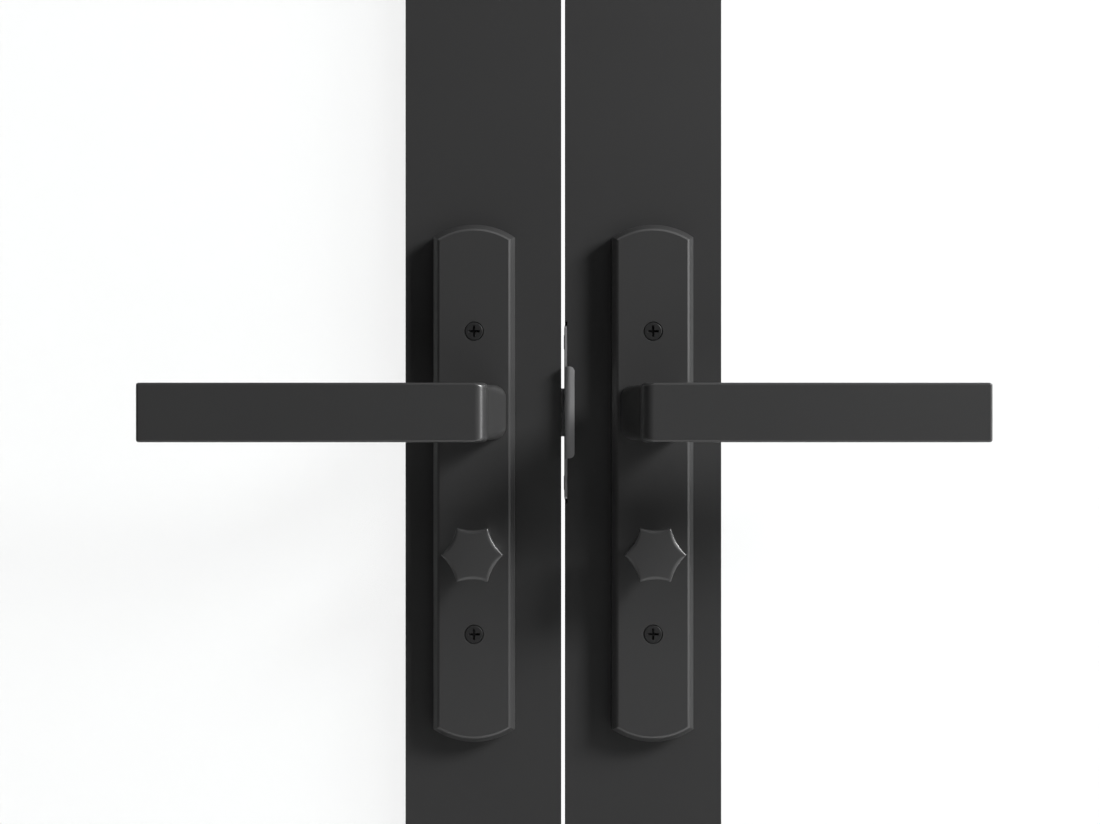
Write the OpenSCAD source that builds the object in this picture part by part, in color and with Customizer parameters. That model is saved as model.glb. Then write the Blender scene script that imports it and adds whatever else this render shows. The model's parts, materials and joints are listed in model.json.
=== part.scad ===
// A pair of narrow-stile glazed doors in their frame, closed.
// X runs to the right, Y away from the room side, Z up.
// The origin is on the floor, midway between the two leaves and midway through their thickness.
// The room side (-Y) carries the hinges, the strike lip and the star thumb-turns.

/* [Doorway] */
// Width of each leaf
leaf_w = 760; // [500:5:1000]
// Height of each leaf
leaf_h = 2030; // [1600:10:2400]
// Thickness of each leaf
leaf_t = 40; // [34:1:50]
// Gap between the two leaves
meeting_gap = 2; // [2:0.5:4]
// Gap between a leaf and its jamb
side_gap = 3; // [2:0.5:6]
// Gap between the leaves and the head
head_gap = 3; // [2:0.5:8]
// Gap between the leaves and the threshold
sill_gap = 5; // [3:0.5:10]

/* [Leaf sections] */
// Visible width of a stile
stile_w = 75; // [72:1:120]
// Visible height of a top rail
top_rail_h = 75; // [50:1:200]
// Visible height of a bottom rail
bottom_rail_h = 150; // [60:1:300]
// Wall of the hollow sections
metal_t = 2; // [1.5:0.25:3]
// Width of the glazing lip, which the beads match
lip_w = 12; // [10:1:16]
// Thickness of the glazing lip
lip_t = 3; // [2:0.5:4]

/* [Frame sections] */
// Face width of the jambs and the head
jamb_w = 40; // [38:1:90]
// Depth of the frame from front to back
frame_depth = 80; // [64:1:96]
// Height of the threshold
threshold_h = 20; // [16:1:40]
// How far the door stop reaches over the leaf's opening
stop_w = 12; // [8:1:20]
// Thickness of the rubber seal on the stop
seal_t = 5.7; // [3:0.1:8]
// Width of the rubber seal
seal_w = 8; // [5:0.5:8]

/* [Wall fixings] */
// Radius of the fixing holes through the jambs
fixing_r = 4.5; // [3:0.5:6]
// Distance between the outer pair of fixings
fixing_outer = 1680; // [1200:10:1900]
// Distance between the inner pair of fixings
fixing_inner = 560; // [300:10:1000]
// Height of the middle of the fixings
fixing_z = 1040; // [900:10:1200]

/* [Glazing] */
// Thickness of one pane
pane_t = 4; // [3:1:5]
// Space between the two panes
cavity_t = 12; // [8:1:12]
// Thickness of the gasket between the lip and the glass
front_gasket_t = 3; // [2:0.5:4]
// Thickness of the gasket between the glass and the bead
back_gasket_t = 2; // [2:0.5:4]
// Space between the glass and the bottom of its rebate
glass_gap = 3; // [2:0.5:4]
// Width of the spacer bar between the panes
spacer_w = 7; // [5:0.5:8]

/* [Backplates] */
// Height of the lever's axis above the floor
lever_z = 1040; // [900:5:1150]
// Distance from the leaf's edge to the lever's axis
backset = 41.7; // [40:0.1:46]
// Width of a backplate
plate_w = 38.9; // [34:0.1:60]
// Height of a backplate above the lever's axis
plate_up = 89.7; // [70:0.1:120]
// Length of a backplate below the lever's axis
plate_down = 157.5; // [130:0.1:200]
// Thickness of a backplate
plate_t = 10; // [8:0.5:14]
// Size of the bevel round a backplate
plate_bevel = 3; // [1:0.5:4]
// Radius of the arched ends
end_r = 34.5; // [31:0.5:60]
// Wall of the cast plate round its hollow back
plate_wall = 3; // [2:0.5:4]
// Height of the upper screw above the lever's axis
screw_up = 38.7; // [36:0.1:60]
// Drop of the lower screw below the lever's axis
screw_down = 105.8; // [102:0.1:125]
// Radius of a plate screw's shank
screw_r = 2.5; // [2:0.25:3]
// Radius of a plate screw's head
screw_head_r = 4.4; // [4:0.1:5]

/* [Levers] */
// Length of the grip beyond the lever's axis
grip_out = 151; // [90:1:180]
// Length of the grip behind the lever's axis
grip_in = 8; // [4:1:14]
// Height of the grip
grip_h = 27; // [18:1:34]
// Thickness of the grip
grip_t = 12; // [8:1:16]
// Distance from the leaf's face to the grip's front
grip_reach = 62; // [50:1:80]
// Radius along the grip's edges
grip_edge_r = 1.2; // [0.5:0.1:3]
// Width of the neck where it meets the plate
neck_w = 30.6; // [26:0.1:34]
// Height of the neck where it meets the plate
neck_h = 26; // [22:1:30]
// Radius of the neck's corners
neck_corner_r = 3.5; // [2:0.5:6]
// Side of the square spindle
spindle_side = 8; // [6:0.5:9]
// Radius of the collar that turns in the plate
collar_r = 9; // [8:0.5:11]

/* [Thumb-turns] */
// Drop of the thumb-turn's axis below the lever's axis
turn_drop = 66.5; // [60:0.5:72]
// Radius to the points of the star
star_r = 14.5; // [12:0.5:18]
// Radius to the hollows of the star
star_valley_r = 11.5; // [9:0.5:14]
// Radius of the hollow between two points
star_hollow_r = 23.5; // [18:0.5:40]
// Number of points
star_points = 6; // [6:1:6]
// Thickness of the star
star_t = 13; // [8:1:18]
// Distance from the leaf's face to the star's front
star_reach = 33; // [28:1:40]
// Radius of the dome on the star's front
star_dome_r = 80; // [50:5:200]
// Radius of the stem
stem_r = 8; // [6:0.5:10]
// Radius of the collar that turns in the plate
turn_collar_r = 7; // [6:0.5:8]
// Side of the thumb-turn's square spindle
turn_side = 6; // [5:0.5:7]

/* [Locks] */
// Height of the case above the lever's axis
case_up = 34; // [24:1:34]
// Length of the case below the lever's axis
case_down = 98; // [90:1:100]
// Thickness of the case
case_t = 16; // [15:0.5:24]
// Wall of the case
case_wall = 1.5; // [1:0.25:2]
// Depth of the case from the leaf's edge
case_depth = 59; // [56:1:60]
// Radius of a cam hub
hub_r = 9; // [8:0.25:9.5]
// Radius of a hub's bearing in the case
journal_r = 7; // [6:0.25:7.5]
// Height of the latch bolt
latch_h = 23.5; // [18:0.5:28]
// Thickness of the latch bolt
latch_t = 12; // [8:0.5:12]
// How far the latch bolt stands out of the edge
latch_throw = 12; // [8:0.5:12]
// Height of the dead bolt
dead_h = 20; // [16:0.5:24]
// Thickness of the dead bolt
dead_t = 12; // [8:0.5:12]
// Travel of the dead bolt
dead_throw = 15; // [10:0.5:15]
// Length of a bolt behind the faceplate
bolt_tail = 17; // [12:0.5:18]
// Width of the faceplate in the leaf's edge
faceplate_w = 22; // [20:0.5:26]
// Length of the faceplate
faceplate_h = 172; // [150:1:200]
// Radius of the latch spring's coil
spring_r = 3; // [2:0.25:4]
// Radius of the latch spring's wire
spring_wire_r = 0.4; // [0.3:0.05:0.6]
// Turns of the latch spring
spring_turns = 9; // [5:1:12]

/* [Shoot bolts] */
// Radius of a shoot bolt's rod
rod_r = 4; // [3:0.25:5]
// Travel of a shoot bolt
rod_throw = 22; // [14:0.5:22]
// Distance from the meeting line to the rods
rod_x = 30; // [28:0.5:29.5]
// Radius of the hole that a rod enters
keep_r = 6.5; // [6:0.25:8]
// Thickness of the keep plates
keep_t = 1.5; // [1:0.25:2]
// Length of the guide in each end of the stile
guide_h = 25; // [15:1:40]

/* [Strike] */
// Height of the strike plate
strike_h = 84; // [74:1:120]
// Thickness of the strike plate
strike_t = 1.4; // [1:0.1:2]
// How far the strike plate stands proud of the edge
strike_proud = 0.4; // [0:0.1:0.5]
// Space above and below the strike plate in its recess
strike_gap = 1.7; // [0.5:0.1:3]
// Depth of the strike plate behind the leaf's middle
strike_back = 12; // [10:0.5:15]
// Height of the curled lip
strike_lip_h = 44; // [30:1:60]
// How far the lip stands out from the leaf's face
strike_lip_out = 5.6; // [4:0.1:6]
// Width of the lip measured across the face
strike_lip_w = 4.7; // [4.2:0.1:6]
// Distance between the strike screws
strike_screws_apart = 69; // [56:0.5:72]
// Radius of a strike screw's head
strike_head_r = 3.5; // [3:0.1:4]

/* [Hinges] */
// Height of a hinge
hinge_h = 100; // [80:1:140]
// Width of a hinge flap from its knuckle's clearance
flap_w = 32; // [28:1:34]
// Thickness of a hinge flap
flap_t = 3; // [2:0.5:4]
// Radius of a hinge knuckle
knuckle_r = 6; // [5:0.5:8]
// Radius of a hinge pin
pin_r = 3; // [2:0.25:4]
// Height of the leaf's knuckle
leaf_knuckle_h = 33.4; // [25:0.1:45]
// Drop of the top hinge's middle from the leaf's top
hinge_top = 200; // [120:5:300]
// Height of the bottom hinge's middle above the leaf's bottom
hinge_bottom = 230; // [120:5:300]
// Radius of a hinge screw's head
hinge_head_r = 4; // [3:0.25:5]
// Radius of a hinge screw's shank
hinge_screw_r = 2; // [1.5:0.25:2.5]

/* [Clearances] */
// Radial clearance of a turning or sliding fit
run = 0.08; // [0.02:0.01:0.1]
// Clearance between pieces that pass without touching
play = 0.3; // [0.3:0.05:0.5]
// Clearance of a bolt in the hole that it enters
entry = 1; // [0.5:0.1:1.5]

/* [Hidden] */
$fn = 48;
hull_fn = 32;
small = 0.5;              // overshoot of a cut past the face that it opens
edge = meeting_gap / 2;   // the leaf's meeting edge
outer = edge + leaf_w;    // the leaf's hinge edge
face = leaf_t / 2;        // the leaf's two faces are at -face and +face
z0 = threshold_h + sill_gap;
z1 = z0 + leaf_h;
jamb_in = outer + side_gap;
jamb_out = jamb_in + jamb_w;
head_in = z1 + head_gap;
head_out = head_in + jamb_w;
frame_front = -face;
frame_back = frame_front + frame_depth;
stop_front = face + play + seal_t;
stop_in = jamb_in - stop_w;
stop_under = head_in - stop_w;
stop_over = threshold_h + sill_gap + stop_w;

box_w = stile_w - lip_w;                 // the hollow part of a stile
rebate_x0 = edge + box_w;
rebate_x1 = outer - box_w;
rebate_z0 = z0 + bottom_rail_h - lip_w;
rebate_z1 = z1 - top_rail_h + lip_w;
lip_back = -face + lip_t;
glass_front = lip_back + front_gasket_t;
glass_back = glass_front + 2 * pane_t + cavity_t;
bead_front = glass_back + back_gasket_t;
gasket_w = lip_w - 2;
bead_chamfer = 3;
bead_joint = 0.1;                        // hairline between an upright and a level bead

axis_x = edge + backset;                 // the lever's and the thumb-turn's axis
turn_z = lever_z - turn_drop;
plate_front = face + plate_t;
pocket_t = plate_t - 4;
boss_r = screw_r + 3.5;
post_r = screw_r + 2;
post_tip = -face / 2;
screw_len = plate_t + leaf_t * 0.8;
neck_gap = play;
grip_back = grip_reach - grip_t;

case_x0 = edge + metal_t;
case_x1 = edge + case_depth;
gearbox_x0 = rod_x - rod_r - 10;
case_z0 = lever_z - case_down;
case_z1 = lever_z + case_up;
hub_t = case_t - 2 * case_wall - 0.4;
faceplate_z = lever_z - turn_drop / 2;
bolt_back = case_x0 + bolt_tail;
arm_z = latch_h / 2 + 4.5;
arm_h = 9;
dead_inset = 0.5;

rod_tip_gap = 2;
rod_in_case = 24;
recess_t = 1;

pin_x = outer + side_gap / 2;
pin_y = -face - knuckle_r - small;
flap_near = knuckle_r + 1.5;
hinge_zs = [z0 + hinge_bottom, (z0 + hinge_bottom + z1 - hinge_top) / 2, z1 - hinge_top];
screw_zs = [-0.36 * hinge_h, -0.12 * hinge_h, 0.12 * hinge_h, 0.36 * hinge_h];
screw_xs = [flap_near + 0.3 * flap_w, flap_near + 0.72 * flap_w];

black = "#1d1d1e";
grey = "#5a5a5c";

// ---- helpers ----

// Everything is drawn for the right-hand leaf, and the left-hand one is its mirror image.
module left() { mirror([1, 0, 0]) children(); }

// A block between two corners.
module block(x, y, z) {
    translate([x[0], y[0], z[0]]) cube([x[1] - x[0], y[1] - y[0], z[1] - z[0]]);
}

module along_y(x, z, r, y) {
    translate([x, y[0], z]) rotate([-90, 0, 0]) cylinder(r = r, h = y[1] - y[0]);
}

module along_x(y, z, r, x) {
    translate([x[0], y, z]) rotate([0, 90, 0]) cylinder(r = r, h = x[1] - x[0]);
}

module along_z(x, y, r, z) {
    translate([x, y, z[0]]) cylinder(r = r, h = z[1] - z[0]);
}

// A rectangular ring of width w, standing in the XZ plane.
module ring(x, y, z, w) {
    difference() {
        block(x, y, z);
        block([x[0] + w, x[1] - w], [y[0] - small, y[1] + small], [z[0] + w, z[1] - w]);
    }
}

// A countersunk hole or head: the cone's wide end is at y = 0 and it narrows towards +Y.
module countersink(head_r, shank_r) {
    rotate([-90, 0, 0]) cylinder(r1 = head_r, r2 = shank_r, h = head_r - shank_r);
}

// A countersunk screw pointing towards +Y with its head flush at y = 0, and a cross recess.
module screw(head_r, shank_r, length) {
    arm = head_r * 1.28;
    slot = head_r * 0.27;
    difference() {
        union() {
            countersink(head_r, shank_r);
            along_y(0, 0, shank_r, [0, length]);
        }
        block([-arm / 2, arm / 2], [-small, 1.6], [-slot / 2, slot / 2]);
        block([-slot / 2, slot / 2], [-small, 1.6], [-arm / 2, arm / 2]);
    }
}

// A rectangle with round corners, centred on the origin.
module round_rect(w, h, r) {
    square([w, h - 2 * r], center = true);
    square([w - 2 * r, h], center = true);
    for (x = [-1, 1], y = [-1, 1]) translate([x * (w / 2 - r), y * (h / 2 - r)]) circle(r);
}

// ---- frame ----

module fixing_holes() {
    for (s = [-1, 1], d = [fixing_outer, fixing_inner])
        along_x(frame_front + frame_depth / 2 - 15, fixing_z + s * d / 2, fixing_r,
                [jamb_in - small, jamb_out + small]);
}

module jamb() {
    color(black) difference() {
        union() {
            block([jamb_in, jamb_out], [frame_front, frame_back], [0, head_out]);
            block([stop_in, jamb_in], [stop_front, frame_back], [threshold_h, head_in]);
        }
        block([jamb_in + metal_t, jamb_out - metal_t],
              [frame_front + metal_t, frame_back - metal_t], [-small, head_out + small]);
        block([stop_in + metal_t, jamb_in + metal_t + small],
              [stop_front + metal_t, frame_back - metal_t], [threshold_h - small, head_in + small]);
        fixing_holes();
        hinge_screw_holes(1);
    }
}

// Holes for the hinge screws, in the jamb (side 1) or in the leaf (side -1).
module hinge_screw_holes(side) {
    for (z = hinge_zs, dz = screw_zs, i = [0, 1])
        if ((i == 0) == (abs(dz) > hinge_h / 4))
            along_y(pin_x + side * screw_xs[i], z + dz, hinge_screw_r + run,
                    [-face - small, -face + metal_t + small]);
}

module head() {
    color(black) difference() {
        union() {
            block([-jamb_in, jamb_in], [frame_front, frame_back], [head_in, head_out]);
            block([-stop_in, stop_in], [stop_front, frame_back], [stop_under, head_in]);
        }
        block([-jamb_in - small, jamb_in + small],
              [frame_front + metal_t, frame_back - metal_t], [head_in + metal_t, head_out - metal_t]);
        block([-stop_in - small, stop_in + small],
              [stop_front + metal_t, frame_back - metal_t],
              [stop_under + metal_t, head_in + metal_t + small]);
        along_z(rod_x, 0, keep_r, [head_in - small, head_in + metal_t + small]);
    }
}

module threshold() {
    color(grey) difference() {
        union() {
            block([-jamb_in, jamb_in], [frame_front, frame_back], [0, threshold_h]);
            block([-stop_in, stop_in], [stop_front, frame_back], [threshold_h, stop_over]);
        }
        block([-jamb_in - small, jamb_in + small],
              [frame_front + metal_t, frame_back - metal_t], [metal_t, threshold_h - metal_t]);
        block([-stop_in - small, stop_in + small],
              [stop_front + metal_t, frame_back - metal_t],
              [threshold_h - metal_t - small, stop_over - metal_t]);
        along_z(rod_x, 0, keep_r, [threshold_h - metal_t - small, threshold_h + small]);
    }
}

module stop_seal() {
    y = [stop_front - seal_t, stop_front];
    color("#111111") {
        for (s = [-1, 1])
            block([s * (stop_in + 1 + seal_w / 2) - seal_w / 2, s * (stop_in + 1 + seal_w / 2) + seal_w / 2],
                  y, [stop_over, stop_under]);
        block([-stop_in - 1 - seal_w, stop_in + 1 + seal_w], y, [stop_under + 1, stop_under + 1 + seal_w]);
        block([-stop_in - 1 - seal_w, stop_in + 1 + seal_w], y, [stop_over - 1 - seal_w, stop_over - 1]);
    }
}

// A keep plate for a shoot bolt, lying flat with its underside at z.
module keep(z) {
    color("silver") difference() {
        block([rod_x - 22, rod_x + 22], [-12, 12], [z, z + keep_t]);
        along_z(rod_x, 0, keep_r, [z - small, z + keep_t + small]);
    }
}

// ---- leaf sections ----

module stile_lip(x) {
    block(x, [-face, lip_back], [rebate_z0, rebate_z1]);
}

module stile_box(x) {
    difference() {
        block(x, [-face, face], [z0, z1]);
        block([x[0] + metal_t, x[1] - metal_t], [-face + metal_t, face - metal_t], [z0 - small, z1 + small]);
    }
}

// The stile that carries the lock, without the cuts in its edge.
module lock_stile_blank() {
    difference() {
        union() {
            stile_box([edge, rebate_x0]);
            stile_lip([rebate_x0, edge + stile_w]);
        }
        along_y(axis_x, lever_z, collar_r + entry, [-face - small, face + small]);
        along_y(axis_x, turn_z, collar_r + entry, [-face - small, face + small]);
        for (z = [lever_z + screw_up, lever_z - screw_down])
            along_y(axis_x, z, post_r + play, [-face - small, face + small]);
    }
}

module left_lock_stile() {
    color(black) left() difference() {
        lock_stile_blank();
        block([edge - small, edge + metal_t + small], [-faceplate_w / 2 - 0.1, faceplate_w / 2 + 0.1],
              [faceplate_z - faceplate_h / 2 - 0.1, faceplate_z + faceplate_h / 2 + 0.1]);
    }
}

module right_lock_stile() {
    recess_z = strike_h / 2 + strike_gap;
    color(black) difference() {
        lock_stile_blank();
        block([edge - small, edge + recess_t], [-face - small, strike_back + small],
              [lever_z - recess_z, lever_z + recess_z]);
        block([edge - small, edge + metal_t + small],
              [-latch_t / 2 - entry, latch_t / 2 + entry],
              [lever_z - latch_h / 2 - entry, lever_z + latch_h / 2 + entry]);
        block([edge - small, edge + metal_t + small],
              [-dead_t / 2 - entry, dead_t / 2 + entry],
              [turn_z - dead_h / 2 - entry, turn_z + dead_h / 2 + entry]);
        for (s = [-1, 1])
            along_x(0, lever_z + s * strike_screws_apart / 2, hinge_screw_r + run,
                    [edge - small, edge + metal_t + small]);
    }
}

module hinge_stile() {
    color(black) difference() {
        union() {
            stile_box([rebate_x1, outer]);
            stile_lip([outer - stile_w, rebate_x1]);
        }
        hinge_screw_holes(-1);
    }
}

// A rail whose hollow box spans z and whose lip spans lip_z.
module rail(z, lip_z) {
    color(black) {
        difference() {
            block([rebate_x0, rebate_x1], [-face, face], z);
            block([rebate_x0 - small, rebate_x1 + small], [-face + metal_t, face - metal_t],
                  [z[0] + metal_t, z[1] - metal_t]);
        }
        block([edge + stile_w, outer - stile_w], [-face, lip_back], lip_z);
    }
}

module top_rail() { rail([rebate_z1, z1], [rebate_z1 - lip_w, rebate_z1]); }

module bottom_rail() { rail([z0, rebate_z0], [rebate_z0, rebate_z0 + lip_w]); }

// ---- glazing ----

glass_x = [rebate_x0 + glass_gap, rebate_x1 - glass_gap];
glass_z = [rebate_z0 + glass_gap, rebate_z1 - glass_gap];

module panes() {
    color("lightblue", 0.3) {
        block(glass_x, [glass_front, glass_front + pane_t], glass_z);
        block(glass_x, [glass_back - pane_t, glass_back], glass_z);
    }
}

module spacer() {
    color("silver")
        ring([glass_x[0] + 1, glass_x[1] - 1], [glass_front + pane_t, glass_back - pane_t],
             [glass_z[0] + 1, glass_z[1] - 1], spacer_w);
}

module gaskets() {
    x = [rebate_x0 + 1, rebate_x1 - 1];
    z = [rebate_z0 + 1, rebate_z1 - 1];
    color("#111111") {
        ring(x, [lip_back, glass_front], z, gasket_w);
        ring(x, [glass_back, bead_front], z, gasket_w);
    }
}

// A bead's section: its back on the rebate at x = 0, its chamfer on the glass side.
module bead_section() {
    polygon([[0, bead_front], [lip_w, bead_front], [lip_w, face - bead_chamfer],
             [lip_w - bead_chamfer, face], [0, face]]);
}

module upright_bead(h) { linear_extrude(h) bead_section(); }

// A level bead of the given length, with its back on the rebate at z = 0.
module level_bead(w) { rotate([0, -90, 180]) mirror([0, 1, 0]) linear_extrude(w) bead_section(); }

module beads() {
    color(black) {
        for (s = [0, 1]) translate([s ? rebate_x1 : rebate_x0, 0, rebate_z0 + lip_w + bead_joint])
            mirror([s, 0, 0]) upright_bead(rebate_z1 - rebate_z0 - 2 * (lip_w + bead_joint));
        translate([rebate_x0, 0, rebate_z0]) level_bead(rebate_x1 - rebate_x0);
        translate([rebate_x0, 0, rebate_z1]) mirror([0, 0, 1]) level_bead(rebate_x1 - rebate_x0);
    }
}

// ---- backplates ----

// The plate's end: a disc with the same bevel as the sides, its back at y = 0.
module bevel_disc() {
    rotate([90, 0, 0]) rotate_extrude($fn = 96)
        polygon([[0, 0], [end_r, 0], [end_r, plate_t - plate_bevel], [end_r - plate_bevel, plate_t], [0, plate_t]]);
}

// The outside of a backplate, its back at y = 0 and the lever's axis at the origin.
module plate_blank() {
    w = plate_w / 2;
    up = plate_up - end_r;
    down = plate_down - end_r;
    intersection() {
        translate([0, 0, -plate_down]) linear_extrude(plate_up + plate_down)
            polygon([[-w, 0], [-w, plate_bevel - plate_t], [plate_bevel - w, -plate_t],
                     [w - plate_bevel, -plate_t], [w, plate_bevel - plate_t], [w, 0]]);
        union() {
            translate([0, 0, up]) bevel_disc();
            translate([0, 0, -down]) bevel_disc();
            block([-plate_w, plate_w], [-plate_t, 0], [-down, up]);
        }
    }
}

// The hollow in the plate's back, less the bosses round its holes.
module plate_pocket() {
    x = plate_w / 2 - plate_wall;
    rise = end_r - sqrt(end_r * end_r - plate_w * plate_w / 4) + plate_wall;
    difference() {
        block([-x, x], [-pocket_t, small], [rise - plate_down, plate_up - rise]);
        along_y(0, 0, collar_r + plate_wall, [-plate_t, 2 * small]);
        along_y(0, -turn_drop, turn_collar_r + plate_wall, [-plate_t, 2 * small]);
        for (z = [screw_up, -screw_down]) along_y(0, z, boss_r, [-plate_t, 2 * small]);
    }
}

module plate_shell() {
    difference() {
        plate_blank();
        plate_pocket();
        along_y(0, 0, collar_r + run, [-plate_t - small, small]);
        along_y(0, -turn_drop, turn_collar_r + run, [-plate_t - small, small]);
    }
}

module front_plate() {
    color(black) translate([axis_x, -face, lever_z]) difference() {
        plate_shell();
        for (z = [screw_up, -screw_down]) {
            along_y(0, z, screw_r + run, [-plate_t - small, small]);
            translate([0, -plate_t, z]) countersink(screw_head_r + 0.2, screw_r);
        }
    }
}

// The back plate has no screws of its own: two posts reach into the leaf for the front plate's screws.
module back_plate() {
    color(black) translate([axis_x, face, lever_z]) mirror([0, 1, 0]) {
        plate_shell();
        for (z = [screw_up, -screw_down]) difference() {
            along_y(0, z, post_r, [-pocket_t, face - post_tip]);
            along_y(0, z, screw_r + run, [0, face - post_tip + small]);
        }
    }
}

module plate_screws() {
    color(black) for (z = [screw_up, -screw_down])
        translate([axis_x, -plate_front, lever_z + z]) screw(screw_head_r, screw_r, screw_len);
}

// ---- levers and thumb-turns ----

// A lever on the room side, its axis at the origin and the leaf's face at y = 0.
module lever_shape() {
    neck_base = plate_t + neck_gap;
    difference() {
        union() {
            translate([-grip_in, 0, 0]) rotate([90, 0, 90]) linear_extrude(grip_in + grip_out)
                translate([-grip_reach + grip_t / 2, 0]) round_rect(grip_t, grip_h, grip_edge_r);
            hull() {
                translate([0, -neck_base, 0]) rotate([90, 0, 0]) linear_extrude(2, convexity = 2)
                    round_rect(neck_w, neck_h, neck_corner_r, $fn = hull_fn);
                translate([(neck_w / 2 - grip_in) / 2, -grip_back, 0]) rotate([90, 0, 0]) linear_extrude(1)
                    round_rect(neck_w / 2 + grip_in, neck_h - 1, neck_corner_r / 2, $fn = hull_fn);
            }
            along_y(0, 0, collar_r, [-neck_base - 1, -1]);
        }
        block([-spindle_side / 2 - run, spindle_side / 2 + run], [-grip_back + 4, 0],
              [-spindle_side / 2 - run, spindle_side / 2 + run]);
    }
}

module front_lever() { color(black) translate([axis_x, -face, lever_z]) lever_shape(); }

module back_lever() { color(black) translate([axis_x, face, lever_z]) mirror([0, 1, 0]) lever_shape(); }

// A square spindle with its round hub in the middle of the lock.
module spindle(side, z, y) {
    color("silver") {
        block([axis_x - side / 2, axis_x + side / 2], y, [z - side / 2, z + side / 2]);
        along_y(axis_x, z, hub_r, [-hub_t / 2, hub_t / 2]);
        along_y(axis_x, z, journal_r, [-case_t / 2, case_t / 2]);
    }
}

module lever_spindle() {
    reach = face + grip_back - 5;
    spindle(spindle_side, lever_z, [-reach, reach]);
}

// The star's outline: a disc with a shallow hollow between each two points.
module star_outline() {
    difference() {
        circle(star_r, $fn = 96);
        for (i = [0 : star_points - 1]) rotate((i + 0.5) * 360 / star_points)
            translate([star_valley_r + star_hollow_r, 0]) circle(star_hollow_r, $fn = 96);
    }
}

module star_turn() {
    base = plate_t + play;
    under = star_reach - star_t;
    color(black) translate([axis_x, -face, turn_z]) difference() {
        union() {
            intersection() {
                translate([0, -under, 0]) rotate([90, 0, 0]) linear_extrude(star_t) star_outline();
                translate([0, -star_reach + star_dome_r, 0]) sphere(star_dome_r, $fn = 128);
            }
            along_y(0, 0, stem_r, [-under - 1, -base]);
            along_y(0, 0, turn_collar_r, [-base - 1, -1]);
        }
        block([-turn_side / 2 - run, turn_side / 2 + run], [-under - 4, 0],
              [-turn_side / 2 - run, turn_side / 2 + run]);
    }
}

// The thumb-turn's spindle, which ends in a slotted disc in the back plate.
module turn_spindle() {
    slot = 1.6;
    difference() {
        union() {
            spindle(turn_side, turn_z, [-face - star_reach + star_t - 3, face + 2]);
            color("silver") along_y(axis_x, turn_z, turn_collar_r, [face + 1, plate_front - small]);
        }
        block([axis_x - 5, axis_x + 5], [plate_front - 2, plate_front],
              [turn_z - slot / 2, turn_z + slot / 2]);
    }
}

// ---- left lock ----

// A case with bearings for the two spindles.
module case_shell(x) {
    y = case_t / 2;
    difference() {
        block(x, [-y, y], [case_z0, case_z1]);
        block([x[0] + case_wall, x[1] - case_wall], [case_wall - y, y - case_wall],
              [case_z0 + case_wall, case_z1 - case_wall]);
        for (z = [lever_z, turn_z]) along_y(axis_x, z, journal_r + run, [-y - small, y + small]);
    }
}

module left_lock_case() {
    x = [case_x0 - small, case_x0 + case_wall + small];
    color("silver") left() difference() {
        case_shell([case_x0, case_x1]);
        bolt_window(x, play);
    }
}

// The holes that the two bolts slide through.
module bolt_window(x, gap) {
    block(x, [-latch_t / 2 - gap, latch_t / 2 + gap],
          [lever_z - latch_h / 2 - gap, lever_z + latch_h / 2 + gap]);
    block(x, [-dead_t / 2 - gap, dead_t / 2 + gap], [turn_z - dead_h / 2 - gap, turn_z + dead_h / 2 + gap]);
}

module left_faceplate() {
    color(grey) left() difference() {
        block([edge, edge + metal_t], [-faceplate_w / 2, faceplate_w / 2],
              [faceplate_z - faceplate_h / 2, faceplate_z + faceplate_h / 2]);
        bolt_window([edge - small, edge + metal_t + small], play);
    }
}

module left_latch_bolt() {
    y = latch_t / 2;
    tip = edge - latch_throw;
    color(grey) left() {
        translate([0, 0, lever_z - latch_h / 2]) linear_extrude(latch_h)
            polygon([[tip, -y], [bolt_back, -y], [bolt_back, y], [edge, y], [tip, 2 - y]]);
        block([bolt_back - 8, bolt_back], [-4, 4], [lever_z, lever_z + arm_z + arm_h / 2]);
    }
}

// A coil from the latch bolt's arm to the back of the case, along X.
module left_latch_spring() {
    x0 = bolt_back + 0.1 + spring_wire_r;
    x1 = case_x1 - case_wall - 0.1 - spring_wire_r;
    sides = 6;
    per_turn = 14;
    n = spring_turns * per_turn;
    points = [for (i = [0 : n], k = [0 : sides - 1])
        let (a = i * 360 / per_turn, r = spring_r + spring_wire_r * cos(k * 360 / sides))
            [x0 + (x1 - x0) * i / n + spring_wire_r * sin(k * 360 / sides),
             r * cos(a), lever_z + arm_z + r * sin(a)]];
    walls = [for (i = [0 : n - 1], k = [0 : sides - 1])
        [i * sides + k, i * sides + (k + 1) % sides, (i + 1) * sides + (k + 1) % sides, (i + 1) * sides + k]];
    ends = [[for (k = [sides - 1 : -1 : 0]) k], [for (k = [0 : sides - 1]) n * sides + k]];
    color("silver") left() polyhedron(points, concat(walls, ends));
}

module left_dead_bolt() {
    color(grey) left()
        block([edge + dead_inset, bolt_back + 3], [-dead_t / 2, dead_t / 2],
              [turn_z - dead_h / 2, turn_z + dead_h / 2]);
}

// ---- right gearbox and shoot bolts ----

module right_gearbox() {
    color("silver") difference() {
        case_shell([gearbox_x0, case_x1]);
        along_z(rod_x, 0, rod_r + run, [case_z0 - small, case_z1 + small]);
    }
}

module right_rod_guides() {
    gap = 0.1;
    x = [edge + metal_t + gap, rebate_x0 - metal_t - gap];
    y = [-face + metal_t + gap, face - metal_t - gap];
    color("#222222") for (z = [[z0, z0 + guide_h], [z1 - guide_h, z1]]) difference() {
        block(x, y, z);
        along_z(rod_x, 0, rod_r + run, [z[0] - small, z[1] + small]);
    }
}

module right_top_bolt() {
    color("silver") along_z(rod_x, 0, rod_r, [case_z1 - rod_in_case, z1 - rod_tip_gap]);
}

module right_bottom_bolt() {
    color("silver") along_z(rod_x, 0, rod_r, [z0 + rod_tip_gap, case_z0 + rod_in_case]);
}

// ---- strike ----

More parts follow.
